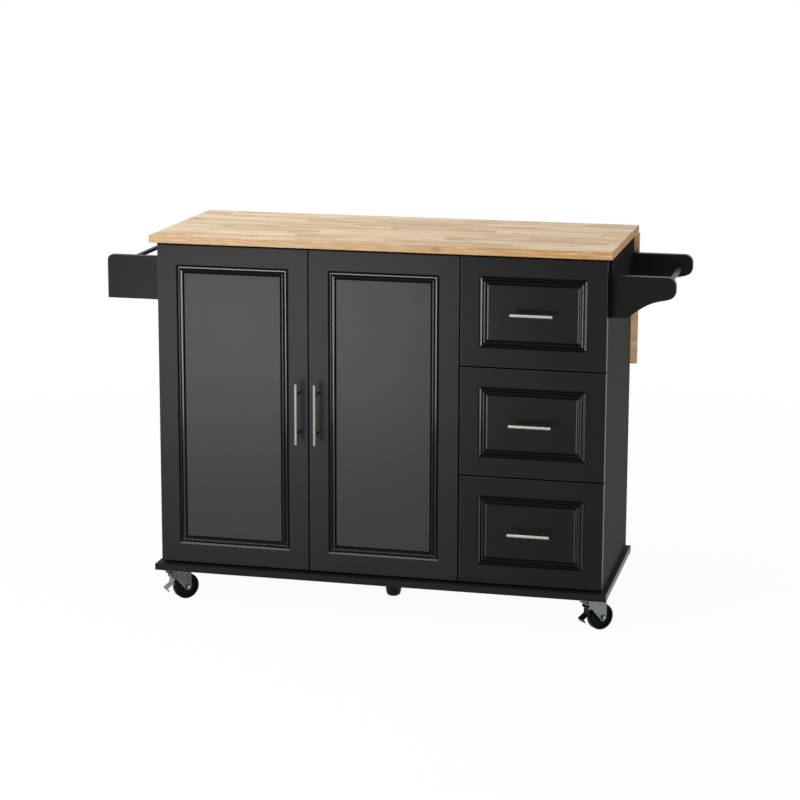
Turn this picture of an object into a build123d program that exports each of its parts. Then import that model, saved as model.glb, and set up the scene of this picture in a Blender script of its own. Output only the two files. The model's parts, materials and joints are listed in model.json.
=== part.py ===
from build123d import *
import math
import os

os.makedirs("parts", exist_ok=True)

# Rolling kitchen island, millimetres, +Z up, +X to the right of someone facing the doors.
# The origin is on the floor, under the middle of the overall box.

# Cabinet
overall_height = 914.0
cabinet_width = 1090.0
panel_thick = 16.0
back_thick = 9.0
drawer_bay = 347.0  # right end of the cabinet to the middle of the divider
rail_depth = 60.0
panel_fit = 0.2  # between loose boards that meet in one piece of furniture

# Base board
base_thick = 16.0
base_end_overhang = 13.0
base_front_overhang = 17.0
base_round = 1.5

# Worktop and drop leaf
worktop_thick = 18.0
worktop_depth = 468.0
worktop_end_overhang = 13.0
worktop_front_overhang = 24.0
worktop_back_overhang = 20.0  # past the back panel
worktop_round = 2.0
leaf_length = 330.0
leaf_gap = 1.0  # leaf to worktop when the leaf is raised

# Leaf hinges
hinge_count = 3
hinge_end_inset = 150.0
hinge_length = 60.0
hinge_knuckles = 5
hinge_plate_thick = 1.5
hinge_plate_width = 17.0
hinge_flap_width = 30.0
hinge_pin_radius = 1.3
knuckle_radius = 2.6
knuckle_gap = 0.3
running_fit = 0.05  # radial clearance of every pin in its eye

# Leaf stays, a pair of bars that fold at the knee
stay_end_inset = 230.0
stay_reach = 170.0  # leaf hinge axis to each stay pivot
stay_offset = 9.0  # stay pivots in front of the leaf hinge axis
stay_bar_width = 9.0
stay_sheet = 2.5
stay_gap = 0.5
stay_pin_radius = 2.0
stay_plate_height = 46.0
stay_plate_width = 30.0

# Doors and drawer fronts
front_thick = 18.0
front_gap = 2.0  # behind the fronts
reveal = 3.0  # between neighbouring fronts
front_bottom_gap = 5.0
front_top_gap = 7.0
front_round = 1.2
door_moulding_margin = 49.0
drawer_moulding_margin = 46.5
moulding_width = 19.0
moulding_depth = 3.0
moulding_corner = 5.0
outer_bead_inset = 2.6
outer_bead_width = 4.6
outer_bead_rise = 0.4
outer_bead_round = 1.8
main_bead_inset = 8.6
main_bead_width = 6.6
main_bead_rise = 2.6
main_bead_round = 2.7

# Bar pulls
handle_diameter = 8.0
handle_standoff = 31.0
handle_post_diameter = 6.0
handle_end_chamfer = 0.8
door_handle_length = 148.0
door_handle_centres = 96.0
drawer_handle_length = 101.0
drawer_handle_centres = 64.0
door_handle_inset = 21.5  # bar to the meeting edge of its door

# Concealed cup hinges, two to a door
cup_hinge_inset = 90.0
cup_radius = 17.5
cup_inset = 22.5  # cup centre to the hinged edge of the door
cup_depth = 13.5
cup_wall = 1.0
cup_fit = 0.1
cup_flange_thick = 1.0
cup_flange_height = 56.0
cup_flange_width = 24.0
cup_pivot_inset = 12.5
cup_pivot_depth = 6.0  # in from the back of the door
arm_pivot_inset = 33.0
arm_pivot_back = 3.0  # behind the back of the door
arm_height = 15.0
arm_slot_height = 7.8
arm_nose_radius = 3.0
arm_slot_back = 5.0
arm_length = 58.0
arm_plate_thick = 4.0
arm_plate_height = 36.0
arm_plate_length = 34.0
link_height = 7.0
link_radius = 2.0
link_knee_in = 11.7  # the bend in the link, from its cup pivot
link_knee_fore = 3.4
hinge_rivet_radius = 1.2

# Cupboard shelf
shelf_thick = 16.0
shelf_height = 390.0  # above the base board
shelf_setback = 24.0
shelf_fit = 1.0
shelf_pin_radius = 2.5
shelf_pin_length = 18.0
shelf_pin_depth = 9.0
shelf_pin_inset = 60.0
shelf_hole_pitch = 32.0
shelf_hole_rows = 5

# Drawers
drawer_count = 3
drawer_side_thick = 12.0
drawer_bottom_thick = 6.0
drawer_bottom_lift = 10.0
drawer_box_height = 170.0
drawer_box_lift = 36.0  # above the lower edge of its front
drawer_back_clear = 37.0

# Drawer runners
runner_space = 12.7
runner_height = 38.0
runner_sheet = 1.2
runner_flange = 9.0
runner_lift = 40.0  # middle of the runner above the lower edge of the box
runner_clear = 0.3
runner_front_setback = 4.0
runner_back_setback = 4.0

# Towel rack, on the right end
towel_reach = 153.0
towel_height = 98.0
towel_tip_height = 56.0
towel_foot = 42.0
towel_top_drop = 44.0  # below the worktop
towel_bracket_thick = 18.0
towel_tip_top_radius = 20.0
towel_tip_low_radius = 25.0
towel_sweep_inset = 37.0  # from the tip to the start of the sweep
towel_sweep_slope = 0.22
towel_foot_slope = 0.75
towel_bar_diameter = 12.0
towel_bar_inset = 30.0
towel_bar_drop = 33.0
towel_bar_seat = 9.0

# Spice rack, on the left end
spice_reach = 137.0
spice_height = 106.0
spice_top_drop = 41.0
spice_end_thick = 15.0
spice_corner = 13.0
spice_shelf_thick = 12.0
spice_rail_diameter = 11.0
spice_rail_inset = 25.0
spice_rail_seat = 8.0

# Both racks stand between the same two planes
rack_front_setback = 10.0  # behind the front edge of the side panel
rack_back_setback = 18.0
rod_fit = 0.1

# Casters
caster_height = 82.0
caster_end_inset = 41.0
caster_side_inset = 32.0
caster_trail = 28.0
front_swivel = 43.0  # which way each caster trails, in degrees from +X
rear_left_swivel = 150.0
rear_right_swivel = 205.0
caster_plate_length = 48.0
caster_plate_width = 48.0
caster_plate_thick = 2.5
caster_plate_corner = 6.0
wheel_diameter = 64.0
wheel_width = 22.0
wheel_round = 5.0
wheel_recess = 3.5
wheel_recess_rim = 8.0
wheel_hub_radius = 12.0
axle_radius = 4.0
axle_head_radius = 6.5
axle_head_thick = 4.0
fork_sheet = 2.5
fork_side_clear = 1.0
fork_crown_drop = 7.0
fork_race_radius = 22.0
fork_race_dish = 2.5
fork_lead = 16.0
fork_crown_lead = 21.0
fork_axle_end = 9.0
swivel_clear = 0.3
kingpin_radius = 5.0
kingpin_head_radius = 8.0
kingpin_head_thick = 4.0

# Brake pedals of the front casters
pedal_pivot_lead = 10.0  # ahead of the swivel axis
pedal_pivot_height = 60.5
pedal_pin_radius = 2.0
pedal_hub_radius = 4.4
pedal_width = 20.0
pedal_sheet = 3.0
pedal_elbow_lead = 11.0
pedal_elbow_height = 43.5
pedal_tread_lead = 27.0
pedal_tread_height = 32.5
pedal_hook_lead = 21.0
pedal_hook_height = 25.5
pedal_shoe_clear = 4.2  # shoe to tyre with the brake off

# Support foot under the middle of the base
foot_clear = 2.0
foot_setback = 190.0  # behind the front edge of the base
foot_top_radius = 30.0
foot_low_radius = 16.5
foot_round = 9.0

# Places that follow from the sizes
cabinet_x = (spice_reach - towel_reach) / 2
left_x = cabinet_x - cabinet_width / 2
right_x = cabinet_x + cabinet_width / 2
inner_left_x = left_x + panel_thick
inner_right_x = right_x - panel_thick
divider_x = right_x - drawer_bay
divider_left_x = divider_x - panel_thick / 2
divider_right_x = divider_x + panel_thick / 2

hinge_drop = knuckle_radius + knuckle_gap
worktop_back = worktop_depth - worktop_front_overhang
leaf_inner = worktop_back + leaf_gap / 2 + hinge_drop
handle_projection = handle_standoff + handle_diameter / 2
front_y = (handle_projection - leaf_inner - worktop_thick) / 2
front_back_y = front_y + front_thick
carcass_front_y = front_back_y + front_gap
carcass_depth = worktop_back - front_thick - front_gap - worktop_back_overhang
carcass_back_y = carcass_front_y + carcass_depth
inner_back_y = carcass_back_y - back_thick
worktop_back_y = front_y + worktop_back
leaf_inner_y = front_y + leaf_inner
base_front_y = front_y - base_front_overhang

base_top_z = caster_height + base_thick
worktop_z = overall_height - worktop_thick
front_low_z = base_top_z + front_bottom_gap
front_high_z = worktop_z - front_top_gap

worktop_left_x = left_x - worktop_end_overhang
worktop_right_x = right_x + worktop_end_overhang
leaf_axis_y = worktop_back_y + leaf_gap / 2
leaf_axis_z = worktop_z - hinge_drop
leaf_top_z = leaf_axis_z - leaf_gap / 2

door_right_x = divider_x - reveal / 2
door_meeting_x = (inner_left_x + divider_left_x) / 2  # over the middle of the cupboard
drawer_left_x = divider_x + reveal / 2
drawer_pitch = (front_high_z - front_low_z + reveal) / drawer_count

rack_front_y = carcass_front_y + rack_front_setback
rack_span = carcass_depth - rack_front_setback - rack_back_setback
rack_back_y = rack_front_y + rack_span


def facing_front(y):
    # sketch plane with X and Z as its axes, facing the user
    return Plane.XZ.offset(-y)


def facing_right(x):
    # sketch plane with Y and Z as its axes
    return Plane.YZ.offset(x)


def facing_up(z):
    return Plane.XY.offset(z)


def middle(span):
    return (span[0] + span[1]) / 2


def length_of(span):
    return span[1] - span[0]


def save(piece, name):
    piece.part.label = name
    export_step(piece.part, f"parts/{name}.step")


def boards(*boxes):
    # flat boards, each given by its spans along X, Y and Z
    with BuildPart() as piece:
        for x, y, z in boxes:
            with BuildSketch(facing_up(z[0])):
                with Locations((middle(x), middle(y))):
                    Rectangle(length_of(x), length_of(y))
            extrude(amount=length_of(z))
    return piece


# Base board, rounded along the top of its front and ends
with BuildPart() as base_board:
    with BuildSketch(facing_up(caster_height)):
        with Locations((cabinet_x, (base_front_y + carcass_back_y) / 2)):
            Rectangle(cabinet_width + 2 * base_end_overhang, carcass_back_y - base_front_y)
    extrude(amount=base_thick)
    top_rim = base_board.faces().sort_by(Axis.Z)[-1].edges().sort_by(Axis.Y)[:-1]
    fillet(top_rim, base_round)
save(base_board, "base_board")


# Side panels, divider and back
shelf_z = base_top_z + shelf_height
shelf_pin_z = shelf_z - shelf_pin_radius - running_fit
shelf_pin_front_y = carcass_front_y + shelf_setback + shelf_pin_inset
shelf_pin_back_y = inner_back_y - shelf_pin_inset
shelf_hole_columns = (shelf_pin_front_y + shelf_pin_back_y) / 2, shelf_pin_z
carcass_y = (carcass_front_y, carcass_back_y)
carcass_z = (base_top_z, worktop_z)


def upright(x, y, hole_x, hole_depth):
    # upright board with columns of shelf pin holes in one face
    with BuildPart() as piece:
        with BuildSketch(facing_up(base_top_z)):
            with Locations((middle(x), middle(y))):
                Rectangle(length_of(x), length_of(y))
        extrude(amount=length_of(carcass_z))
        with BuildSketch(facing_right(hole_x)):
            with Locations(shelf_hole_columns):
                with GridLocations(shelf_pin_back_y - shelf_pin_front_y, shelf_hole_pitch, 2, shelf_hole_rows):
                    Circle(shelf_pin_radius + running_fit)
        extrude(amount=hole_depth, mode=Mode.SUBTRACT)
    return piece


save(upright((left_x, inner_left_x), carcass_y, inner_left_x, -shelf_pin_depth), "left_side_panel")
save(boards(((inner_right_x, right_x), carcass_y, carcass_z)), "right_side_panel")
divider_y = (carcass_front_y, inner_back_y - panel_fit)
save(upright((divider_left_x, divider_right_x), divider_y, divider_left_x, shelf_pin_depth), "centre_divider")
back_x = (inner_left_x + panel_fit, inner_right_x - panel_fit)
save(boards((back_x, (inner_back_y, carcass_back_y), carcass_z)), "back_panel")

# Rails across the top of each bay, front and back
rail_z = (worktop_z - panel_thick, worktop_z)
front_rail_y = (carcass_front_y, carcass_front_y + rail_depth)
back_rail_y = (inner_back_y - panel_fit - rail_depth, inner_back_y - panel_fit)
cupboard_x = (inner_left_x + panel_fit, divider_left_x - panel_fit)
drawer_x = (divider_right_x + panel_fit, inner_right_x - panel_fit)
rail_boxes = [(x, y, rail_z) for x in (cupboard_x, drawer_x) for y in (front_rail_y, back_rail_y)]
save(boards(*rail_boxes), "top_rails")

# Cupboard shelf on its pins
shelf_x = (inner_left_x + shelf_fit, divider_left_x - shelf_fit)
shelf_y = (carcass_front_y + shelf_setback, inner_back_y - shelf_fit)
save(boards((shelf_x, shelf_y, (shelf_z, shelf_z + shelf_thick))), "adjustable_shelf")

with BuildPart() as shelf_pins:
    for wall_x, inward in ((inner_left_x, 1), (divider_left_x, -1)):
        with BuildSketch(facing_right(wall_x - inward * (shelf_pin_depth - running_fit))):
            with Locations((shelf_pin_front_y, shelf_pin_z), (shelf_pin_back_y, shelf_pin_z)):
                Circle(shelf_pin_radius)
        extrude(amount=inward * shelf_pin_length)
save(shelf_pins, "shelf_pins")


# Worktop and drop leaf, softened along every edge
def wooden_top(x, y, z):
    with BuildPart() as piece:
        with BuildSketch(facing_up(z[0])):
            with Locations((middle(x), middle(y))):
                Rectangle(length_of(x), length_of(y))
        extrude(amount=length_of(z))
        fillet(piece.edges(), worktop_round)
    return piece


worktop_x = (worktop_left_x, worktop_right_x)
worktop_y = (front_y - worktop_front_overhang, worktop_back_y)
save(wooden_top(worktop_x, worktop_y, (worktop_z, overall_height)), "worktop")
leaf_y = (leaf_inner_y, leaf_inner_y + worktop_thick)
save(wooden_top(worktop_x, leaf_y, (leaf_top_z - leaf_length, leaf_top_z)), "drop_leaf")

# Leaf hinges: plates under the worktop, flaps on the leaf, and the pins between them
hinge_pitch = (length_of(worktop_x) - 2 * hinge_end_inset) / (hinge_count - 1)
first_hinge_x = worktop_left_x + hinge_end_inset - hinge_length / 2
hinge_starts = [first_hinge_x + n * hinge_pitch for n in range(hinge_count)]
knuckle_length = hinge_length / hinge_knuckles
leaf_axis = (leaf_axis_y, leaf_axis_z)


def hinge_half(first_knuckle, plate_y, plate_z, tab_y, tab_z):
    # one half of each leaf hinge: a plate, and every other knuckle joined to it by a tab
    with BuildPart() as piece:
        for start in hinge_starts:
            plate_x = (start, start + hinge_length)
            with BuildSketch(facing_right(start)):
                with Locations((middle(plate_y), middle(plate_z))):
                    Rectangle(length_of(plate_y), length_of(plate_z))
            extrude(amount=hinge_length)
            for n in range(first_knuckle, hinge_knuckles, 2):
                with BuildSketch(facing_right(start + n * knuckle_length + knuckle_gap / 2)):
                    with Locations(leaf_axis):
                        Circle(knuckle_radius)
                    with Locations((middle(tab_y), middle(tab_z))):
                        Rectangle(length_of(tab_y), length_of(tab_z))
                    with Locations(leaf_axis):
                        Circle(hinge_pin_radius + running_fit, mode=Mode.SUBTRACT)
                extrude(amount=knuckle_length - knuckle_gap)
    return piece


plate_under_z = (worktop_z - hinge_plate_thick, worktop_z)
plate_end_y = leaf_axis_y - hinge_drop
plate_span_y = (plate_end_y - hinge_plate_width, plate_end_y)
plate_tab_y = (plate_end_y, leaf_axis_y)
save(hinge_half(0, plate_span_y, plate_under_z, plate_tab_y, plate_under_z), "leaf_hinge_plates")
flap_on_leaf_y = (leaf_inner_y - hinge_plate_thick, leaf_inner_y)
flap_end_z = leaf_axis_z - hinge_drop
flap_span_z = (flap_end_z - hinge_flap_width, flap_end_z)
flap_tab_z = (flap_end_z, leaf_axis_z)
save(hinge_half(1, flap_on_leaf_y, flap_span_z, flap_on_leaf_y, flap_tab_z), "leaf_hinge_flaps")

with BuildPart() as leaf_hinge_pins:
    for start in hinge_starts:
        with BuildSketch(facing_right(start)):
            with Locations(leaf_axis):
                Circle(hinge_pin_radius)
        extrude(amount=hinge_length)
save(leaf_hinge_pins, "leaf_hinge_pins")

# Leaf stays: a foot on the cabinet, an ear on the leaf and two bars that meet at the knee.
# With the leaf down, both pivots lie on one line and the bars hang folded below them.
stay_pivot = (leaf_axis_y - stay_offset, leaf_axis_z - stay_reach)
stay_arm = math.hypot(stay_reach, stay_offset)
stay_bar_length = stay_arm * math.sin(math.radians(45))
stay_knee = (
    stay_pivot[0] - stay_offset * stay_bar_length / stay_arm,
    stay_pivot[1] - stay_reach * stay_bar_length / stay_arm,
)
stay_layer = stay_sheet + stay_gap
stay_starts = [worktop_left_x + stay_end_inset, worktop_right_x - stay_end_inset - 4 * stay_layer]


def stay_mount(layer, wall_y, toward, pin_reach):
    # screw plate on a flat wall, with an upright ear that carries the pivot pin
    plate_y = sorted((wall_y, wall_y + toward * stay_sheet))
    ear_y = sorted((wall_y, stay_pivot[0]))
    with BuildPart() as piece:
        for start in stay_starts:
            ear_x = start + layer * stay_layer
            with BuildSketch(facing_right(ear_x)):
                with Locations(stay_pivot):
                    Circle(stay_bar_width / 2)
                with Locations((middle(ear_y), stay_pivot[1])):
                    Rectangle(length_of(ear_y), stay_bar_width)
            extrude(amount=stay_sheet)
            with BuildSketch(facing_front(plate_y[0])):
                with Locations((ear_x + stay_sheet / 2, stay_pivot[1])):
                    Rectangle(stay_plate_width, stay_plate_height)
            extrude(amount=-length_of(plate_y))
            with BuildSketch(facing_right(ear_x + stay_sheet / 2)):
                with Locations(stay_pivot):
                    Circle(stay_pin_radius)
            extrude(amount=pin_reach)
    return piece


def stay_bar(layer):
    # flat bar with round ends, pierced for the pivot pin
    with BuildPart() as piece:
        for start in stay_starts:
            with BuildSketch(facing_right(start + layer * stay_layer)):
                with Locations(stay_pivot, stay_knee):
                    Circle(stay_bar_width / 2)
                make_hull()
                with Locations(stay_pivot, stay_knee):
                    Circle(stay_pin_radius + running_fit, mode=Mode.SUBTRACT)
            extrude(amount=stay_sheet)
    return piece


stay_pin_reach = stay_sheet / 2 + stay_layer
save(stay_mount(0, carcass_back_y, 1, stay_pin_reach), "leaf_stay_feet")
save(stay_bar(1), "leaf_stay_lower_bars")
save(stay_bar(2), "leaf_stay_upper_bars")
save(stay_mount(3, leaf_inner_y, -1, -stay_pin_reach), "leaf_stay_ears")


# Doors and drawer fronts: a slab with a sunk moulding of two beads round a flat field
def moulded_front(x, z, margin, cup_places=()):
    centre = (middle(x), middle(z))
    width = length_of(x) - 2 * margin
    height = length_of(z) - 2 * margin
    beads = (
        (outer_bead_inset, outer_bead_width, outer_bead_rise),
        (main_bead_inset, main_bead_width, main_bead_rise),
    )
    with BuildPart() as piece:
        with BuildSketch(facing_front(front_y)):
            with Locations(centre):
                Rectangle(length_of(x), length_of(z))
        extrude(amount=-front_thick)
        fillet(piece.faces().sort_by(Axis.Y)[0].edges(), front_round)
        with BuildSketch(facing_front(front_y)):
            with Locations(centre):
                RectangleRounded(width, height, moulding_corner)
                Rectangle(width - 2 * moulding_width, height - 2 * moulding_width, mode=Mode.SUBTRACT)
        extrude(amount=-moulding_depth, mode=Mode.SUBTRACT)
        for inset, bead, rise in beads:
            inner = inset + bead
            with BuildSketch(facing_front(front_y + moulding_depth)):
                with Locations(centre):
                    Rectangle(width - 2 * inset, height - 2 * inset)
                    Rectangle(width - 2 * inner, height - 2 * inner, mode=Mode.SUBTRACT)
            extrude(amount=moulding_depth + rise)
        bead_tops = piece.faces().filter_by(Axis.Y).group_by(Axis.Y)
        fillet(bead_tops[0].edges(), main_bead_round)
        bead_tops = piece.faces().filter_by(Axis.Y).group_by(Axis.Y)
        fillet(bead_tops[1].edges(), outer_bead_round)
        if cup_places:
            with BuildSketch(facing_front(front_back_y)):
                with Locations(*cup_places):
                    Circle(cup_radius)
            extrude(amount=cup_depth, mode=Mode.SUBTRACT)
    return piece


def bar_pull(x, z, bar_length, post_centres, upright_bar):
    # round bar on two posts
    bar_y = front_y - handle_standoff
    half = post_centres / 2
    if upright_bar:
        posts = ((x, z - half), (x, z + half))
        bar_plane = facing_up(z - bar_length / 2)
        bar_place = (x, bar_y)
    else:
        posts = ((x - half, z), (x + half, z))
        bar_plane = facing_right(x - bar_length / 2)
        bar_place = (bar_y, z)
    with BuildPart() as piece:
        with BuildSketch(bar_plane):
            with Locations(bar_place):
                Circle(handle_diameter / 2)
        extrude(amount=bar_length)
        chamfer(piece.edges().filter_by(GeomType.CIRCLE), handle_end_chamfer)
        with BuildSketch(facing_front(front_y)):
            with Locations(*posts):
                Circle(handle_post_diameter / 2)
        extrude(amount=handle_standoff)
    return piece


# Concealed hinges: cups in the door, arms on the upright, one cranked link in each
cup_hinge_heights = (front_low_z + cup_hinge_inset, front_high_z - cup_hinge_inset)
cup_pivot_y = front_back_y - cup_pivot_depth
arm_pivot_y = front_back_y + arm_pivot_back


def hinge_cups(edge_x, inward):
    cup_x = edge_x + inward * cup_inset
    pivot_x = edge_x + inward * cup_pivot_inset
    places = [(cup_x, z) for z in cup_hinge_heights]
    with BuildPart() as piece:
        with BuildSketch(facing_front(front_back_y)):
            with Locations(*places):
                Circle(cup_radius - cup_fit)
        extrude(amount=cup_depth - cup_fit)
        with BuildSketch(facing_front(front_back_y + cup_flange_thick)):
            with Locations(*places):
                Rectangle(cup_flange_width, cup_flange_height)
                Circle(cup_radius + cup_wall)
        extrude(amount=cup_flange_thick)
        with BuildSketch(facing_front(front_back_y + cup_flange_thick)):
            with Locations(*places):
                Circle(cup_radius - cup_fit - cup_wall)
        extrude(amount=cup_depth - cup_fit - cup_wall + cup_flange_thick, mode=Mode.SUBTRACT)
        for z in cup_hinge_heights:
            with BuildSketch(facing_up(z - cup_radius + 2 * cup_wall)):
                with Locations((pivot_x, cup_pivot_y)):
                    Circle(hinge_rivet_radius)
            extrude(amount=2 * (cup_radius - 2 * cup_wall))
        with BuildSketch(facing_front(front_back_y)):
            with Locations(*places):
                Circle(2 * cup_radius)
                Circle(cup_radius - cup_fit, mode=Mode.SUBTRACT)
        extrude(amount=cup_depth, mode=Mode.SUBTRACT)
    return piece


def hinge_links(edge_x, inward):
    # cranked link that clears the rim of the cup when the door is open
    cup_end = (edge_x + inward * cup_pivot_inset, cup_pivot_y)
    knee = (cup_end[0] + inward * link_knee_in, cup_pivot_y - link_knee_fore)
    arm_end = (edge_x + inward * arm_pivot_inset, arm_pivot_y)
    with BuildPart() as piece:
        for z in cup_hinge_heights:
            for start, end in ((cup_end, knee), (knee, arm_end)):
                with BuildSketch(facing_up(z - link_height / 2)):
                    with Locations(start, end):
                        Circle(link_radius)
                    make_hull()
                extrude(amount=link_height)
            with BuildSketch(facing_up(z - link_height / 2)):
                with Locations(cup_end, arm_end):
                    Circle(hinge_rivet_radius + running_fit)
            extrude(amount=link_height, mode=Mode.SUBTRACT)
    return piece


hinged_uprights = ((left_x, 1, inner_left_x), (door_right_x, -1, divider_left_x))
with BuildPart() as door_hinge_arms:
    for edge_x, inward, wall_x in hinged_uprights:
        nose = (edge_x + inward * arm_pivot_inset, arm_pivot_y)
        block_x = sorted((wall_x, nose[0] + inward * arm_nose_radius))
        block_y = (arm_pivot_y + arm_length - arm_plate_length, arm_pivot_y + arm_length)
        plate_x = sorted((wall_x, wall_x + inward * arm_plate_thick))
        for z in cup_hinge_heights:
            with BuildSketch(facing_up(z - arm_height / 2)):
                with Locations(nose, (nose[0], block_y[1] - arm_nose_radius)):
                    Circle(arm_nose_radius)
                make_hull()
                with Locations((middle(block_x), middle(block_y))):
                    Rectangle(length_of(block_x), length_of(block_y))
            extrude(amount=arm_height)
            with BuildSketch(facing_up(z - arm_slot_height / 2)):
                with Locations((nose[0], nose[1] + arm_slot_back - arm_length / 2)):
                    Rectangle(4 * arm_nose_radius, arm_length)
            extrude(amount=arm_slot_height, mode=Mode.SUBTRACT)
            with BuildSketch(facing_up(z - arm_height / 2)):
                with Locations(nose):
                    Circle(hinge_rivet_radius)
            extrude(amount=arm_height)
            with BuildSketch(facing_up(z - arm_plate_height / 2)):
                with Locations((middle(plate_x), middle(block_y))):
                    Rectangle(arm_plate_thick, arm_plate_length)
            extrude(amount=arm_plate_height)
save(door_hinge_arms, "door_hinge_arms")

door_z = (front_low_z, front_high_z)
door_spans = {
    "left_door": ((left_x, door_meeting_x - reveal / 2), left_x, 1),
    "right_door": ((door_meeting_x + reveal / 2, door_right_x), door_right_x, -1),
}
for name, (door_x, edge_x, inward) in door_spans.items():
    cup_places = [(edge_x + inward * cup_inset, z) for z in cup_hinge_heights]
    handle_x = edge_x + inward * (length_of(door_x) - door_handle_inset)
    handle_z = middle(door_z)
    save(moulded_front(door_x, door_z, door_moulding_margin, cup_places), name)
    save(bar_pull(handle_x, handle_z, door_handle_length, door_handle_centres, True), f"{name}_handle")
    save(hinge_cups(edge_x, inward), f"{name}_hinge_cups")
    save(hinge_links(edge_x, inward), f"{name}_hinge_links")

# Drawers: a moulded front, an open box behind it, and the moving half of each runner
box_x = (divider_right_x + runner_space, inner_right_x - runner_space)
box_y = (front_back_y, inner_back_y - drawer_back_clear)
drawer_front_x = (drawer_left_x, right_x)
runner_start_y = carcass_front_y + runner_front_setback
runner_length = box_y[1] - runner_back_setback - runner_start_y
drawer_low_z = [front_low_z + n * drawer_pitch for n in range(drawer_count)]
box_low_z = [z + drawer_box_lift for z in drawer_low_z]
runner_middle_z = [z + runner_lift for z in box_low_z]


def drawer_box(z):
    sides_z = (z, z + drawer_box_height)
    left_side = (box_x[0], box_x[0] + drawer_side_thick)
    right_side = (box_x[1] - drawer_side_thick, box_x[1])
    between_x = (left_side[1] + panel_fit, right_side[0] - panel_fit)
    back_y = (box_y[1] - drawer_side_thick, box_y[1])
    bottom_y = (box_y[0] + panel_fit, back_y[0] - panel_fit)
    bottom_z = (z + drawer_bottom_lift, z + drawer_bottom_lift + drawer_bottom_thick)
    return boards(
        (left_side, box_y, sides_z),
        (right_side, box_y, sides_z),
        (between_x, back_y, sides_z),
        (between_x, bottom_y, bottom_z),
    )


def runner_channels(places, height, flange):
    # channels of bent sheet along Y, each with its web on a wall and its flanges standing off it
    with BuildPart() as piece:
        for wall_x, away, z in places:
            web_x = wall_x + away * flange / 2
            mouth_x = wall_x + away * (runner_sheet + flange / 2)
            with BuildSketch(facing_front(runner_start_y)):
                with Locations((web_x, z)):
                    Rectangle(flange, height)
                with Locations((mouth_x, z)):
                    Rectangle(flange, height - 2 * runner_sheet, mode=Mode.SUBTRACT)
            extrude(amount=-runner_length)
    return piece


bay_walls = ((divider_right_x, 1), (inner_right_x, -1))
fixed_places = [(wall_x, away, z) for z in runner_middle_z for wall_x, away in bay_walls]
save(runner_channels(fixed_places, runner_height, runner_flange), "cabinet_runners")
moving_height = runner_height - 2 * runner_sheet - 2 * runner_clear
moving_flange = runner_space - runner_sheet - runner_clear

drawer_names = ("bottom_drawer", "middle_drawer", "top_drawer")
for n, name in enumerate(drawer_names):
    front_z = (drawer_low_z[n], drawer_low_z[n] + drawer_pitch - reveal)
    pull_x = middle(drawer_front_x)
    moving_places = [(box_x[0], -1, runner_middle_z[n]), (box_x[1], 1, runner_middle_z[n])]
    save(moulded_front(drawer_front_x, front_z, drawer_moulding_margin), f"{name}_front")
    pull = bar_pull(pull_x, middle(front_z), drawer_handle_length, drawer_handle_centres, False)
    save(pull, f"{name}_handle")
    save(drawer_box(box_low_z[n]), f"{name}_box")
    save(runner_channels(moving_places, moving_height, moving_flange), f"{name}_runners")


# Towel rack: two brackets with a swept lower edge, and a round bar let into them
towel_top_z = worktop_z - towel_top_drop
towel_bar_place = (right_x + towel_reach - towel_bar_inset, towel_top_z - towel_bar_drop)
towel_foot_end = (right_x + towel_foot, towel_top_z - towel_height)
towel_sweep_end = (right_x + towel_reach - towel_sweep_inset, towel_top_z - towel_tip_height)
towel_sweep_way = (-1, -towel_sweep_slope)
towel_foot_way = (-1, -towel_foot_slope)
towel_tip_x = right_x + towel_reach
bracket_fronts = (rack_front_y, rack_back_y - towel_bracket_thick)

with BuildPart() as towel_rack_brackets:
    for y in bracket_fronts:
        with BuildSketch(facing_front(y)):
            with BuildLine():
                Polyline(
                    towel_foot_end,
                    (right_x, towel_top_z - towel_height),
                    (right_x, towel_top_z),
                    (towel_tip_x - towel_tip_top_radius, towel_top_z),
                )
                RadiusArc(
                    (towel_tip_x - towel_tip_top_radius, towel_top_z),
                    (towel_tip_x, towel_top_z - towel_tip_top_radius),
                    towel_tip_top_radius,
                )
                tip_low = (towel_tip_x, towel_top_z - towel_tip_height + towel_tip_low_radius)
                Line((towel_tip_x, towel_top_z - towel_tip_top_radius), tip_low)
                Spline(tip_low, towel_sweep_end, tangents=((0, -1), towel_sweep_way))
                Spline(towel_sweep_end, towel_foot_end, tangents=(towel_sweep_way, towel_foot_way))
            make_face()
        extrude(amount=-towel_bracket_thick)
    with BuildSketch(facing_front(bracket_fronts[0] + towel_bracket_thick - towel_bar_seat)):
        with Locations(towel_bar_place):
            Circle(towel_bar_diameter / 2 + rod_fit)
    extrude(amount=-(rack_span - 2 * (towel_bracket_thick - towel_bar_seat)), mode=Mode.SUBTRACT)
save(towel_rack_brackets, "towel_rack_brackets")

with BuildPart() as towel_bar:
    with BuildSketch(facing_front(bracket_fronts[0] + towel_bracket_thick - towel_bar_seat + rod_fit)):
        with Locations(towel_bar_place):
            Circle(towel_bar_diameter / 2)
    extrude(amount=-(rack_span - 2 * (towel_bracket_thick - towel_bar_seat + rod_fit)))
save(towel_bar, "towel_bar")

# Spice rack: two ends with one rounded corner, a shelf between them and a round rail
spice_top_z = worktop_z - spice_top_drop
spice_outer_x = left_x - spice_reach
spice_rail_place = (spice_outer_x + spice_rail_inset, spice_top_z - spice_rail_inset)
spice_fronts = (rack_front_y, rack_back_y - spice_end_thick)

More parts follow.
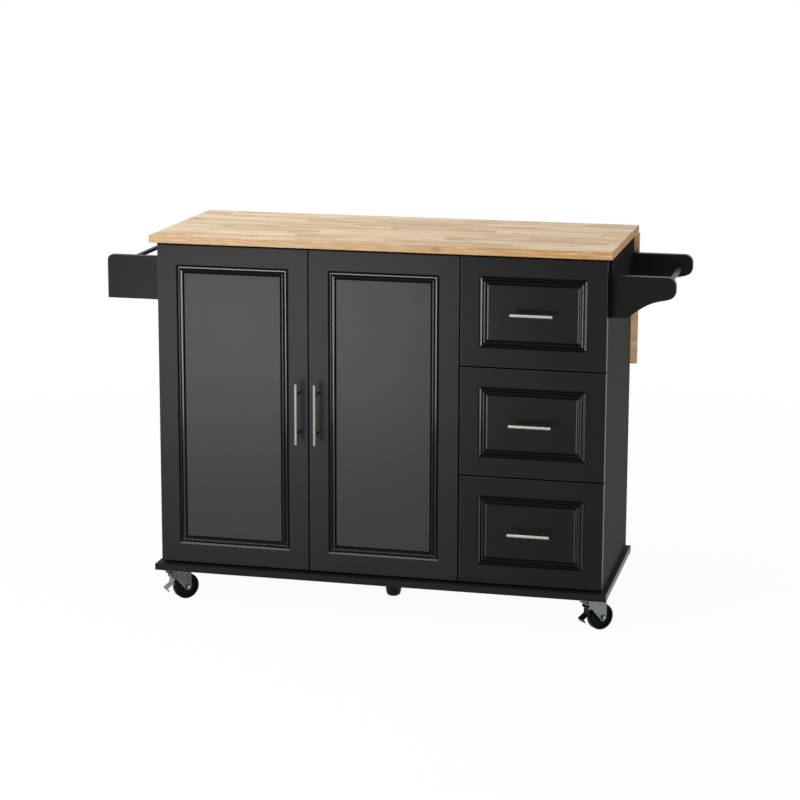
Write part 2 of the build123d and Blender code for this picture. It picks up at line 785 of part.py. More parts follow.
with BuildPart() as spice_rack_ends:
    for y in spice_fronts:
        with BuildSketch(facing_front(y)):
            with Locations((left_x - spice_reach / 2, spice_top_z - spice_height / 2)):
                outline = Rectangle(spice_reach, spice_height)
            fillet(outline.vertices().group_by(Axis.Y)[-1].sort_by(Axis.X)[0], spice_corner)
        extrude(amount=-spice_end_thick)
    with BuildSketch(facing_front(spice_fronts[0] + spice_end_thick - spice_rail_seat)):
        with Locations(spice_rail_place):
            Circle(spice_rail_diameter / 2 + rod_fit)
    extrude(amount=-(rack_span - 2 * (spice_end_thick - spice_rail_seat)), mode=Mode.SUBTRACT)
save(spice_rack_ends, "spice_rack_ends")

spice_shelf_y = (rack_front_y + spice_end_thick + panel_fit, rack_back_y - spice_end_thick - panel_fit)
spice_shelf_z = (spice_top_z - spice_height, spice_top_z - spice_height + spice_shelf_thick)
save(boards(((spice_outer_x, left_x), spice_shelf_y, spice_shelf_z)), "spice_rack_shelf")

with BuildPart() as spice_rack_rail:
    with BuildSketch(facing_front(spice_fronts[0] + spice_end_thick - spice_rail_seat + rod_fit)):
        with Locations(spice_rail_place):
            Circle(spice_rail_diameter / 2)
    extrude(amount=-(rack_span - 2 * (spice_end_thick - spice_rail_seat + rod_fit)))
save(spice_rack_rail, "spice_rack_rail")


# Casters: a top plate with its kingpin, a swivelling fork with its axle, and a wheel
caster_left_x = left_x - base_end_overhang + caster_end_inset
caster_right_x = right_x + base_end_overhang - caster_end_inset
caster_front_y = base_front_y + caster_side_inset
caster_rear_y = carcass_back_y - caster_side_inset
caster_places = {
    "front_left": (caster_left_x, caster_front_y),
    "front_right": (caster_right_x, caster_front_y),
    "rear_left": (caster_left_x, caster_rear_y),
    "rear_right": (caster_right_x, caster_rear_y),
}
caster_turns = {
    "front_left": front_swivel,
    "front_right": front_swivel,
    "rear_left": rear_left_swivel,
    "rear_right": rear_right_swivel,
}
braked_casters = ("front_left", "front_right")

wheel_radius = wheel_diameter / 2
plate_low_z = caster_height - caster_plate_thick
race_top_z = plate_low_z - swivel_clear
crown_top_z = race_top_z - fork_crown_drop
crown_low_z = crown_top_z - fork_sheet
cheek_inside = wheel_width / 2 + fork_side_clear
cheek_outside = cheek_inside + fork_sheet
kingpin_head_z = crown_low_z - swivel_clear

with BuildPart() as caster_plates:
    for x, y in caster_places.values():
        with BuildSketch(facing_up(plate_low_z)):
            with Locations((x, y)):
                RectangleRounded(caster_plate_length, caster_plate_width, caster_plate_corner)
        extrude(amount=caster_plate_thick)
        with BuildSketch(facing_up(kingpin_head_z)):
            with Locations((x, y)):
                Circle(kingpin_radius)
        extrude(amount=plate_low_z - kingpin_head_z)
        with BuildSketch(facing_up(kingpin_head_z - kingpin_head_thick)):
            with Locations((x, y)):
                Circle(kingpin_head_radius)
        extrude(amount=kingpin_head_thick)
save(caster_plates, "caster_plates")


def save_turned(piece, name, caster):
    # caster pieces are drawn trailing along X, then swung round their swivel axis
    swivel_axis = Axis((*caster_places[caster], 0), (0, 0, 1))
    shape = piece.part.rotate(swivel_axis, caster_turns[caster])
    shape.label = name
    export_step(shape, f"parts/{name}.step")


def caster_fork(x, y):
    axle_place = (x + caster_trail, wheel_radius)
    pin_place = (x - pedal_pivot_lead, pedal_pivot_height)
    cheek_x = (x - fork_lead, x + caster_trail + fork_axle_end)
    crown_x = (x - fork_crown_lead, x + caster_trail + fork_axle_end)
    with BuildPart() as piece:
        for side_y in (y - cheek_outside, y + cheek_inside):
            with BuildSketch(facing_front(side_y)):
                with Locations((middle(cheek_x), crown_top_z - fork_sheet / 2)):
                    Rectangle(length_of(cheek_x), fork_sheet)
                with Locations(axle_place):
                    Circle(fork_axle_end)
                make_hull()
                with Locations(pin_place):
                    Circle(pedal_hub_radius)
                with Locations(axle_place):
                    Circle(axle_radius + running_fit, mode=Mode.SUBTRACT)
            extrude(amount=-fork_sheet)
        with BuildSketch(facing_up(crown_low_z)):
            with Locations((middle(crown_x), y)):
                Rectangle(length_of(crown_x), 2 * cheek_outside)
        extrude(amount=fork_sheet)
        with BuildSketch(facing_up(crown_top_z)):
            with Locations((x, y)):
                Circle(fork_race_radius - fork_race_dish)
        with BuildSketch(facing_up(race_top_z)):
            with Locations((x, y)):
                Circle(fork_race_radius)
        loft()
        with BuildSketch(facing_up(crown_low_z)):
            with Locations((x, y)):
                Circle(kingpin_radius + running_fit)
        extrude(amount=race_top_z - crown_low_z, mode=Mode.SUBTRACT)
        with BuildSketch(facing_front(y - cheek_outside)):
            with Locations(pin_place):
                Circle(pedal_pin_radius)
        extrude(amount=-2 * cheek_outside)
        for head_y in (y - cheek_outside - axle_head_thick, y + cheek_outside):
            with BuildSketch(facing_front(head_y)):
                with Locations(axle_place):
                    RegularPolygon(axle_head_radius, 6)
            extrude(amount=-axle_head_thick)
        with BuildSketch(facing_front(y - cheek_outside)):
            with Locations(axle_place):
                Circle(axle_radius)
        extrude(amount=-2 * cheek_outside)
    return piece


def caster_wheel(x, y):
    axle_place = (x + caster_trail, wheel_radius)
    rim = wheel_radius - wheel_recess_rim
    with BuildPart() as piece:
        with BuildSketch(facing_front(y - wheel_width / 2)):
            with Locations(axle_place):
                Circle(wheel_radius)
        extrude(amount=-wheel_width)
        fillet(piece.edges().filter_by(GeomType.CIRCLE), wheel_round)
        for face_y, inward in ((y - wheel_width / 2, -1), (y + wheel_width / 2, 1)):
            with BuildSketch(facing_front(face_y)):
                with Locations(axle_place):
                    Circle(rim)
                    Circle(wheel_hub_radius, mode=Mode.SUBTRACT)
            extrude(amount=inward * wheel_recess, mode=Mode.SUBTRACT)
        with BuildSketch(facing_front(y - wheel_width / 2)):
            with Locations(axle_place):
                Circle(axle_radius + running_fit)
        extrude(amount=-wheel_width, mode=Mode.SUBTRACT)
    return piece


def brake_pedal(x, y):
    # lever on the pin across the fork: an arm down the front of the tyre, a hooked tread and a shoe
    pivot = (x - pedal_pivot_lead, pedal_pivot_height)
    elbow = (x - pedal_elbow_lead, pedal_elbow_height)
    tread = (x - pedal_tread_lead, pedal_tread_height)
    hook = (x - pedal_hook_lead, pedal_hook_height)
    axle = Vector(x + caster_trail, wheel_radius)
    half_sheet = pedal_sheet / 2
    shoe_reach = wheel_radius + pedal_shoe_clear + half_sheet
    shoe = axle + (Vector(*elbow) - axle).normalized() * shoe_reach
    with BuildPart() as piece:
        with BuildSketch(facing_front(y - pedal_width / 2)):
            with Locations(pivot):
                Circle(pedal_hub_radius)
        extrude(amount=-pedal_width)
        for start, end in ((pivot, elbow), (elbow, tread), (tread, hook), (elbow, (shoe.X, shoe.Y))):
            with BuildSketch(facing_front(y - pedal_width / 2)):
                with Locations(start, end):
                    Circle(half_sheet)
                make_hull()
            extrude(amount=-pedal_width)
        with BuildSketch(facing_front(y - pedal_width / 2)):
            with Locations(pivot):
                Circle(pedal_pin_radius + running_fit)
        extrude(amount=-pedal_width, mode=Mode.SUBTRACT)
    return piece


for name, (x, y) in caster_places.items():
    save_turned(caster_fork(x, y), f"{name}_caster_fork", name)
    save_turned(caster_wheel(x, y), f"{name}_caster_wheel", name)
for name in braked_casters:
    save_turned(brake_pedal(*caster_places[name]), f"{name}_brake_pedal", name)

# Support foot, just clear of the floor
foot_y = base_front_y + foot_setback
with BuildPart() as support_foot:
    with BuildSketch(facing_front(foot_y)):
        with BuildLine():
            Polyline(
                (cabinet_x, foot_clear),
                (cabinet_x + foot_low_radius, foot_clear),
                (cabinet_x + foot_top_radius, caster_height),
                (cabinet_x, caster_height),
                close=True,
            )
        face = make_face()
        fillet(face.vertices().sort_by(Axis.Y)[:2].sort_by(Axis.X)[-1], foot_round)
    revolve(axis=Axis((cabinet_x, foot_y, 0), (0, 0, 1)))
save(support_foot, "support_foot")
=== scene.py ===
import bmesh
import bpy
import json
import math
from mathutils import Matrix, Vector


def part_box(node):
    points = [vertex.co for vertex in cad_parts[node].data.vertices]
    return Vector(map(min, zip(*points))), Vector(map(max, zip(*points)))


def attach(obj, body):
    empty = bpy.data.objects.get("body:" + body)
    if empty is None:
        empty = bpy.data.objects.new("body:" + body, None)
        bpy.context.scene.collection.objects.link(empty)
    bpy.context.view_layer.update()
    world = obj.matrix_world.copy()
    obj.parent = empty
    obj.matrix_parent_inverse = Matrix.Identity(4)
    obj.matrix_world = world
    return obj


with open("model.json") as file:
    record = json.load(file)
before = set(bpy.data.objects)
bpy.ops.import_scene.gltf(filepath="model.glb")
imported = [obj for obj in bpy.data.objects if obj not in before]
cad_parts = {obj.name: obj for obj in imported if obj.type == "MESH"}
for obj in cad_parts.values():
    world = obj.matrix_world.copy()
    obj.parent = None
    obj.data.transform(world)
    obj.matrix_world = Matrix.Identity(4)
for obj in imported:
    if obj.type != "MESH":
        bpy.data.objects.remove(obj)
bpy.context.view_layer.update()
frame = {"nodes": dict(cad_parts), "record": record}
nodes = frame["nodes"]
print("frame loaded:", len(nodes), "nodes")


# A socket that can stand in a Python sum; each operator adds one Math node.
class Wire:
    def __init__(self, graph, socket):
        self.graph = graph
        self.socket = socket

    def output(self, name):
        return Wire(self.graph, self.socket.node.outputs[name])

    def __add__(self, other):
        return self.graph.maths("ADD", self, other)

    def __radd__(self, other):
        return self.graph.maths("ADD", other, self)

    def __sub__(self, other):
        return self.graph.maths("SUBTRACT", self, other)

    def __rsub__(self, other):
        return self.graph.maths("SUBTRACT", other, self)

    def __mul__(self, other):
        return self.graph.maths("MULTIPLY", self, other)

    def __rmul__(self, other):
        return self.graph.maths("MULTIPLY", other, self)

    def __truediv__(self, other):
        return self.graph.maths("DIVIDE", self, other)

    def __rtruediv__(self, other):
        return self.graph.maths("DIVIDE", other, self)

    def __gt__(self, other):
        return self.graph.maths("GREATER_THAN", self, other)

    def __lt__(self, other):
        return self.graph.maths("LESS_THAN", self, other)


# A node tree, with one method that adds a node to it and a few that use it.
class Graph:
    def __init__(self, tree):
        self.tree = tree

    def feed(self, socket, value):
        if isinstance(value, Wire):
            self.tree.links.new(value.socket, socket)
        else:
            socket.default_value = value

    def add(self, kind, settings=None, sockets=None, output=0):
        node = self.tree.nodes.new(kind)
        for name, value in (settings or {}).items():
            setattr(node, name, value)
        for name, value in (sockets or {}).items():
            self.feed(node.inputs[name], value)
        return Wire(self, node.outputs[output])

    def maths(self, operation, *values):
        return self.add("ShaderNodeMath", {"operation": operation}, dict(enumerate(values)))

    def seenDirectly(self):
        # 1 for camera, glossy and transmission rays, so that metal shows the same white
        seen = self.add("ShaderNodeLightPath", output="Is Camera Ray")
        others = [seen.output(name) for name in ("Is Glossy Ray", "Is Transmission Ray")]
        for other in others:
            seen = self.maths("MAXIMUM", seen, other)
        return seen


# The Mix node repeats its socket names for each kind of data, so the colour ones go by number.
mixColour = {"share": 0, "first": 6, "second": 7, "result": 2}


# One material: a Principled shader and the nodes that feed it.
class Finish(Graph):
    def __init__(self, name):
        self.material = bpy.data.materials.new(name)
        self.material.use_nodes = True
        super().__init__(self.material.node_tree)
        self.tree.nodes.clear()
        self.shader = self.tree.nodes.new("ShaderNodeBsdfPrincipled")
        self.end = self.tree.nodes.new("ShaderNodeOutputMaterial")
        self.tree.links.new(self.shader.outputs["BSDF"], self.end.inputs["Surface"])

    def surface(self, values):
        for name, value in values.items():
            self.feed(self.shader.inputs[name], value)

    def place(self):
        point = self.add("ShaderNodeTexCoord", output="Object")
        split = self.add("ShaderNodeSeparateXYZ", sockets={"Vector": point})
        return [split.output(axis) for axis in "XYZ"]

    def joined(self, x, y, z):
        return self.add("ShaderNodeCombineXYZ", sockets={"X": x, "Y": y, "Z": z})

    def noise(self, vector, scale, detail=2.0, roughness=0.5):
        sockets = {"Vector": vector, "Scale": scale, "Detail": detail, "Roughness": roughness}
        return self.add("ShaderNodeTexNoise", sockets=sockets)

    def dice(self, x, y=0.0, z=0.0):
        settings = {"noise_dimensions": "3D"}
        return self.add("ShaderNodeTexWhiteNoise", settings, {"Vector": self.joined(x, y, z)})

    def mixed(self, share, first, second, blend="MIX"):
        settings = {"data_type": "RGBA", "blend_type": blend, "clamp_factor": True}
        values = {"share": share, "first": first, "second": second}
        sockets = {mixColour[name]: value for name, value in values.items()}
        return self.add("ShaderNodeMix", settings, sockets, output=mixColour["result"])

    def between(self, value, low, high):
        settings = {"interpolation_type": "SMOOTHSTEP"}
        sockets = {"Value": value, "From Min": low, "From Max": high}
        return self.add("ShaderNodeMapRange", settings, sockets)

    def toEdge(self, value, low, high):
        return self.maths("MINIMUM", value - low, high - value)

    def bump(self, height, distance, strength=1.0):
        sockets = {"Height": height, "Distance": distance, "Strength": strength}
        self.surface({"Normal": self.add("ShaderNodeBump", sockets=sockets)})


noiseMiddle = 0.5


def swing(value):
    # a noise or a dice about its middle level
    return value - noiseMiddle


def within(value, low, high):
    return (value > low) - (value > high)


def weighted(weights, **values):
    # a level, and each value times its own weight
    total = weights["level"]
    for name, value in values.items():
        total = total + value * weights[name]
    return total


# Finger-jointed staves along X, each block with its own tone.
woodLook = {
    "staves": {"worktop": 13, "drop_leaf": 9},
    "blockLength": 0.26, "blockLeast": 0.7, "blockSpread": 0.6, "rowShift": 5.3,
    "fingerPitch": 0.009, "fingerDepth": 0.009,
    "seeds": {"row": 3.7, "tone": 1.3, "shade": 8.1},
    "pale": (0.77, 0.615, 0.435, 1),
    "deep": (0.45, 0.29, 0.155, 1),
    "deepShare": {
        "level": 0.36, "tone": 0.58, "figure": 1.5, "streak": 2.4,
        "rings": 0.06, "fibres": 1.3, "pores": 0.16, "along": 0.12,
    },
    "rosy": (0.64, 0.41, 0.24, 1), "rosyFrom": 0.45, "rosyShare": 0.55,
    "glue": (0.36, 0.215, 0.10, 1), "glueRange": (0.0002, 0.0007), "glueShare": 0.45,
    "edge": (0.45, 0.305, 0.17, 1),
    "amberEdge": (0.40, 0.20, 0.05, 1), "amberFrom": (-0.05, 0.45),
    "edgeReach": 0.0015, "edgeShare": {"level": 0.85, "streak": 2.6, "fibres": 2.8},
    "endGrain": (0.46, 0.26, 0.10, 1), "endShare": {"level": 0.5, "arcs": 0.5},
    # the leaf tinted warmer than the worktop's same wood: painted shade
    "tint": {"worktop": (1, 1, 1, 1), "drop_leaf": (1.15, 0.96, 0.73, 1)},
    # place along, then as shares of the width and thickness, and radius
    "knots": {
        "worktop": ((0.137, 0.0, 0.55, 0.0085),),
        "drop_leaf": ((-0.21, 0.62, 0.0, 0.0070),),
    },
    "knot": (0.27, 0.135, 0.045, 1), "knotShare": {"level": 0.5, "figure": 0.7},
    "knotStretch": 0.6, "knotCore": 0.5,
    # scales along, across and through the stave, and how far a block's tone and shade shift each
    "grain": {
        "figure": {
            "scale": (4.5, 38, 120), "tone": (40, 0, 0), "shade": (0, 9, 0),
            "detail": 3.0, "roughness": 0.62,
        },
        "streak": {
            "scale": (9.0, 120, 250), "tone": (0, 31, 0), "shade": (23, 0, 0),
            "detail": 3.0, "roughness": 0.68,
        },
        "warp": {
            "scale": (4.0, 16, 16), "tone": (0, 0, 12), "shade": (30, 0, 0),
            "detail": 1.0, "roughness": 0.5,
        },
        "fibres": {
            "scale": (34, 420, 520), "tone": (17, 0, 0), "shade": (0, 0, 0),
            "detail": 2.0, "roughness": 0.6,
        },
        "pores": {
            "scale": (150, 1500, 1500), "tone": (0, 50, 0), "shade": (0, 0, 0),
            "detail": 1.0, "roughness": 0.5,
        },
        "arcs": {
            "scale": (0, 150, 420), "tone": (60, 0, 0), "shade": (0, 0, 0),
            "detail": 3.0, "roughness": 0.6,
        },
    },
    "poreRange": (0.62, 0.72),
    "rings": {"level": 0.0, "across": 260, "depth": 190, "warp": 26, "tone": 60},
    "roughness": {"level": 0.60, "fibres": 0.22, "pores": 0.1, "ends": 0.2},
    "specular": 0.22,
    "relief": {"level": 0.0, "fibres": 0.5, "pores": -0.6, "glue": -1.2, "figure": 0.4},
    "reliefDepth": 0.00022,
}


def staveWood(node, acrossAxis):
    look, seeds = woodLook, woodLook["seeds"]
    depthAxis = 3 - acrossAxis
    low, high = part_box(node)
    size = high - low
    wood = Finish(f"{node}Wood")
    place = wood.place()
    along, across, depth = place[0], place[acrossAxis], place[depthAxis]
    # staves side by side, each cut into blocks at zigzag finger joints
    staveWidth = size[acrossAxis] / look["staves"][node]
    staves = (across - low[acrossAxis]) / staveWidth
    row = wood.maths("FLOOR", staves)
    rowDice = wood.dice(row, seeds["row"])
    slope = 2 * look["fingerDepth"] / look["fingerPitch"]
    zigzag = wood.maths("PINGPONG", across, look["fingerPitch"] / 2) * slope
    blockLength = rowDice * look["blockSpread"] * look["blockLength"]
    blockLength = blockLength + look["blockLeast"] * look["blockLength"]
    blocks = (along + zigzag + rowDice * look["rowShift"]) / blockLength
    block = wood.maths("FLOOR", blocks)
    tone = wood.dice(row, block, seeds["tone"])
    shade = wood.dice(row, block, seeds["shade"])

    def grain(name):
        kind = look["grain"][name]
        parts = []
        for axis, part in enumerate((along, across, depth)):
            shifts = ((part, "scale"), (tone, "tone"), (shade, "shade"))
            terms = [wire * kind[key][axis] for wire, key in shifts if kind[key][axis]]
            parts.append(sum(terms[1:], terms[0]))
        return wood.noise(wood.joined(*parts), 1.0, kind["detail"], kind["roughness"])

    # long figure, broad streaks, fine fibres and short pores, all drawn out along the stave
    figure, streak, fibres = grain("figure"), grain("streak"), grain("fibres")
    rings = weighted(look["rings"], across=across, depth=depth, warp=grain("warp"), tone=tone)
    poreMask = wood.between(grain("pores"), *look["poreRange"])
    share = weighted(
        look["deepShare"], tone=swing(tone), figure=swing(figure), streak=swing(streak),
        rings=wood.maths("SINE", rings), fibres=swing(fibres), pores=poreMask, along=along,
    )
    colour = wood.mixed(share, look["pale"], look["deep"])
    colour = wood.mixed((shade - look["rosyFrom"]) * look["rosyShare"], colour, look["rosy"])
    # the long edges are darker, and more amber towards the right
    atEdge = wood.toEdge(across, low[acrossAxis], high[acrossAxis]) < look["edgeReach"]
    edgeShare = weighted(look["edgeShare"], streak=swing(streak), fibres=swing(fibres))
    amber = wood.between(along, *look["amberFrom"])
    edgeTone = wood.mixed(amber, look["edge"], look["amberEdge"])
    colour = wood.mixed(atEdge * edgeShare, colour, edgeTone)
    for knotAlong, knotAcross, knotDepth, radius in look["knots"][node]:
        dx = (along - knotAlong) * look["knotStretch"]
        dy = across - (low[acrossAxis] + knotAcross * size[acrossAxis])
        dz = depth - (low[depthAxis] + knotDepth * size[depthAxis])
        spread = wood.maths("SQRT", dx * dx + dy * dy + dz * dz)
        inKnot = 1 - wood.between(spread, look["knotCore"] * radius, radius)
        knotShare = inKnot * weighted(look["knotShare"], figure=figure)
        colour = wood.mixed(knotShare, colour, look["knot"])
    # painted shade: the leaf's copy of the same wood is tinted warmer
    colour = wood.mixed(1.0, colour, look["tint"][node], "MULTIPLY")
    # glue lines between staves and at the finger joints, by the distance to the nearest one
    halfStep = 0.5
    sideGap = wood.maths("PINGPONG", staves, halfStep) * staveWidth
    endGap = wood.maths("PINGPONG", blocks, halfStep) * blockLength
    glue = 1 - wood.between(wood.maths("MINIMUM", sideGap, endGap), *look["glueRange"])
    colour = wood.mixed(glue * look["glueShare"], colour, look["glue"])
    # the sawn ends show rings instead of figure
    atEnd = wood.toEdge(along, low[0], high[0]) < look["edgeReach"]
    endShare = atEnd * weighted(look["endShare"], arcs=grain("arcs"))
    colour = wood.mixed(endShare, colour, look["endGrain"])
    wood.surface({
        "Base Color": colour,
        "Roughness": weighted(
            look["roughness"], fibres=swing(fibres), pores=poreMask, ends=atEnd,
        ),
        "Specular IOR Level": look["specular"],
    })
    relief = weighted(
        look["relief"], fibres=swing(fibres), pores=poreMask, glue=glue, figure=swing(figure),
    )
    wood.bump(relief, look["reliefDepth"])
    return wood.material


# Black paints: satin on the doors, drawer fronts and racks, flatter on the carcass and base.
paintLooks = {
    "front": {
        "black": (0.0042, 0.0042, 0.0046, 1), "worn": (0.0068, 0.0066, 0.0066, 1),
        "roughness": 0.35, "specular": 0.15, "peelScale": 950, "peelDepth": 0.00004,
    },
    "base": {
        "black": (0.0075, 0.0075, 0.0078, 1), "worn": (0.0105, 0.0103, 0.0102, 1),
        "roughness": 0.62, "specular": 0.08, "peelScale": 900, "peelDepth": 0.00005,
        "endReach": 0.0015, "endGloss": 0.38, "coatRoughness": 0.15, "coatIor": 1.5,
    },
    "rackBoard": {
        "black": (0.0050, 0.0050, 0.0053, 1), "worn": (0.0075, 0.0073, 0.0072, 1),
        "roughness": 0.85, "specular": 0.03, "peelScale": 900, "peelDepth": 0.00005,
    },
    "spiceRack": {
        "black": (0.0036, 0.0036, 0.0038, 1), "worn": (0.0058, 0.0056, 0.0056, 1),
        "roughness": 0.36, "specular": 0.12, "peelScale": 950, "peelDepth": 0.00004,
    },
    "towelRack": {
        "black": (0.0040, 0.0040, 0.0043, 1), "worn": (0.0062, 0.0061, 0.0061, 1),
        "roughness": 0.38, "specular": 0.10, "peelScale": 950, "peelDepth": 0.00004,
    },
    "carcass": {
        "black": (0.0127, 0.0097, 0.0060, 1), "worn": (0.0182, 0.0145, 0.0100, 1),
        "roughness": 0.74, "specular": 0.11, "peelScale": 700, "peelDepth": 0.00007,
    },
}
# What all the paints share: slow clouds of wear, fine dust and the peel left by the roller.
paintTexture = {
    "cloud": {"scale": 5.0, "detail": 3.0, "roughness": 0.6},
    "dust": {"scale": 160.0, "detail": 2.0, "roughness": 0.7},
    "peelDetail": 1.0,
    "wornRange": (0.35, 0.8), "wornShare": 0.5, "dustShare": 0.25,
    "cloudRougher": 0.06, "dustRougher": 0.05,
    "peelRelief": 0.7, "dustRelief": 0.3, "reliefStrength": 0.6,
}
# The moulding: painted highlights, as bands of a glossy high-IOR coat measured inwards from its
# outer edge, between grooves and unlit flanks painted near-black as shade.
mouldingLook = {
    "reach": (-0.0020, 0.019), "groove": (0.0006, 0.0006, 0.0007, 1), "grooveRougher": 0.5,
    "coatRoughness": 0.12, "coatIor": 2.0, "fade": (0.20, 0.72), "least": 0.45,
    "arris": 0.0013, "arrisGloss": 0.09, "arrisDepth": 0.006,
}
# Each painted-highlight band: from, to and how glossy.
fieldLooks = {
    # the doors' black and worn are paler than the drawers' same paint, painted light where the
    # doors catch the lamps' sheen; the lift pales their field further, a painted sheen
    "door": {
        "margin": 0.049, "smoother": 0.06, "lift": 0.70, "colour": (0.031, 0.031, 0.0315, 1),
        "black": (0.0072, 0.0072, 0.0076, 1), "worn": (0.0098, 0.0096, 0.0096, 1),
        "bands": {
            "left": ((0.0030, 0.0062, 0.14), (0.0104, 0.0146, 0.46)),
            "right": ((0.0042, 0.0086, 0.50), (0.0112, 0.0154, 0.14)),
            "top": ((0.0032, 0.0068, 0.46),),
            "bottom": ((-0.0028, 0.0006, 0.9), (0.0066, 0.0106, 0.75)),
        },
    },
    "drawer": {
        "margin": 0.0465, "smoother": 0.06, "lift": 0.0, "colour": (0.0042, 0.0042, 0.0046, 1),
        "specular": 0.12,
        "bands": {
            "left": ((0.0004, 0.0052, 0.9), (0.0097, 0.0138, 0.3), (0.0168, 0.0204, 1.0)),
            "right": (
                (0.0004, 0.0048, 0.8), (0.0078, 0.0118, 0.6),
                (0.0149, 0.0172, 1.0), (0.0192, 0.0214, 1.0),
            ),
            "top": (),
            "bottom": (),
        },
    },
}


def paintedHighlights(paint, place, look, colour, roughness):
    # the moulding's painted-highlight bands and painted-shade grooves, and the field inside it:
    # smoother, and on the doors paler as painted sheen
    x, y, z = place
    low, high = look["low"], look["high"]
    middle = (low + high) / 2
    inX, inZ = paint.toEdge(x, low.x, high.x), paint.toEdge(z, low.z, high.z)
    fromEdge = paint.maths("MINIMUM", inX, inZ)
    inwards = fromEdge - look["margin"]
    upright, onRight, onTop = inX < inZ, x > middle.x, z > middle.z
    # painted highlights: weaker low down on the uprights, where less light falls
    highlightFade = paint.between(z, *look["fade"]) * (1 - look["least"])  # less low down
    highlightShare = upright * (look["least"] + highlightFade)
    runs = {
        "left": highlightShare * (1 - onRight), "right": highlightShare * onRight,
        "top": (1 - upright) * onTop, "bottom": (1 - upright) * (1 - onTop),
    }
    # painted highlight: a faint glossy coat along the front's rounded arrises
    onArris = (fromEdge < look["arris"]) * (y < low.y + look["arrisDepth"])
    paintedHighlightCoat = onArris * look["arrisGloss"]
    # painted highlights: glossy bands on each run, placed where the lamps' light falls on the
    # beads
    for run, bands in look["bands"].items():
        for bandLow, bandHigh, weight in bands:
            paintedHighlightCoat = paintedHighlightCoat + runs[run] * within(inwards, bandLow, bandHigh) * weight
    inside = inwards > look["reach"][1]
    # painted shade: the rest of the moulding, its grooves and unlit flanks, near-black
    groove = within(inwards, *look["reach"]) * (1 - paintedHighlightCoat)
    # painted sheen: the field pales on the doors
    colour = paint.mixed(inside * look["lift"], colour, look["colour"])
    colour = paint.mixed(groove, colour, look["groove"])
    roughness = roughness - inside * look["smoother"] + groove * look["grooveRougher"]
    return paintedHighlightCoat, colour, roughness


def blackPaint(name, kind, field=None):
    look, texture = paintLooks[kind], paintTexture
    if field:
        look = dict(look, **field, **mouldingLook)
    paint = Finish(name)
    place = paint.place()
    point = paint.joined(*place)
    cloud = paint.noise(point, **texture["cloud"])
    dust = paint.noise(point, **texture["dust"])
    peel = paint.noise(point, look["peelScale"], texture["peelDetail"])
    worn = paint.between(cloud, *texture["wornRange"]) * texture["wornShare"]
    worn = worn + swing(dust) * texture["dustShare"]
    colour = paint.mixed(worn, look["black"], look["worn"])
    roughness = look["roughness"] + swing(cloud) * texture["cloudRougher"]
    roughness = roughness + swing(dust) * texture["dustRougher"]
    paintedHighlightCoat = None
    if field:
        paintedHighlightCoat, colour, roughness = paintedHighlights(paint, place, look, colour, roughness)
    elif "endGloss" in look:
        # painted highlight: a glossy coat on the base's end faces
        low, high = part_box("base_board")
        paintedHighlightCoat = (paint.toEdge(place[0], low.x, high.x) < look["endReach"]) * look["endGloss"]
    if paintedHighlightCoat is not None:
        paint.surface({
            "Coat Weight": paintedHighlightCoat,
            "Coat Roughness": look["coatRoughness"],
            "Coat IOR": look["coatIor"],
        })
    paint.surface({
        "Base Color": colour,
        "Roughness": roughness,
        "Specular IOR Level": look["specular"],
    })
    relief = peel * texture["peelRelief"] + dust * texture["dustRelief"]
    paint.bump(relief, look["peelDepth"], texture["reliefStrength"])
    return paint.material


def frontPaint(node, kind):
    low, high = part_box(node)
    return blackPaint(f"{node}Paint", "front", dict(fieldLooks[kind], low=low, high=high))


# Metals: tone, roughness and the scale of the brushing along each axis.
metalLooks = {
    # one nickel in two copies: lighter on the level drawer pulls, darker on the upright door
    # pulls, painted light and shade
    "litDrawerPull": {
        "colour": (0.395, 0.37, 0.325, 1), "dull": (0.28, 0.265, 0.23, 1),
        "roughness": 0.32, "drawn": (14, 900, 900),
    },
    "shadedDoorPull": {
        "colour": (0.215, 0.205, 0.175, 1), "dull": (0.155, 0.148, 0.126, 1),
        "roughness": 0.32, "drawn": (900, 900, 14),
    },
    "rodSteel": {
        "colour": (0.06, 0.057, 0.054, 1), "dull": (0.036, 0.034, 0.033, 1),
        "roughness": 0.40, "drawn": (700, 12, 700),
    },
    "fittingSteel": {
        "colour": (0.66, 0.66, 0.65, 1), "dull": (0.50, 0.50, 0.49, 1),
        "roughness": 0.25, "drawn": (60, 60, 60),
    },
    "casterZinc": {
        "colour": (0.215, 0.24, 0.23, 1), "dull": (0.10, 0.112, 0.108, 1),
        "roughness": 0.33, "drawn": (90, 90, 90),
    },
}
metalTexture = {
    "strokes": {"scale": 1.0, "detail": 3.0, "roughness": 0.6},
    "clouds": {"scale": 45.0, "detail": 2.0},
    "strokeShare": 0.5, "cloudShare": 0.6, "strokeRougher": 0.18, "cloudRougher": 0.1,
    "reliefDepth": 0.00003, "reliefStrength": 0.5,
}
# A caster fork: more or less tarnished, the front-left one darker still as painted shade, with a
# bright bolt head in a ring of grime and painted shade at its axle.
axleLook = {
    "head": 0.0033, "bright": (0.36, 0.385, 0.375, 1),
    "grime": (0.0045, 0.0075), "dark": (0.03, 0.033, 0.032, 1), "grimeShare": 0.8,
    "tarnish": {"front_left_roll": 0.75}, "leastTarnish": 0.12,
    "tarnished": (0.05, 0.052, 0.05, 1),
    "patches": {"scale": 110.0, "detail": 2.0, "roughness": 0.6},
    "patchShare": {"level": 0.4, "patches": 1.2},
}


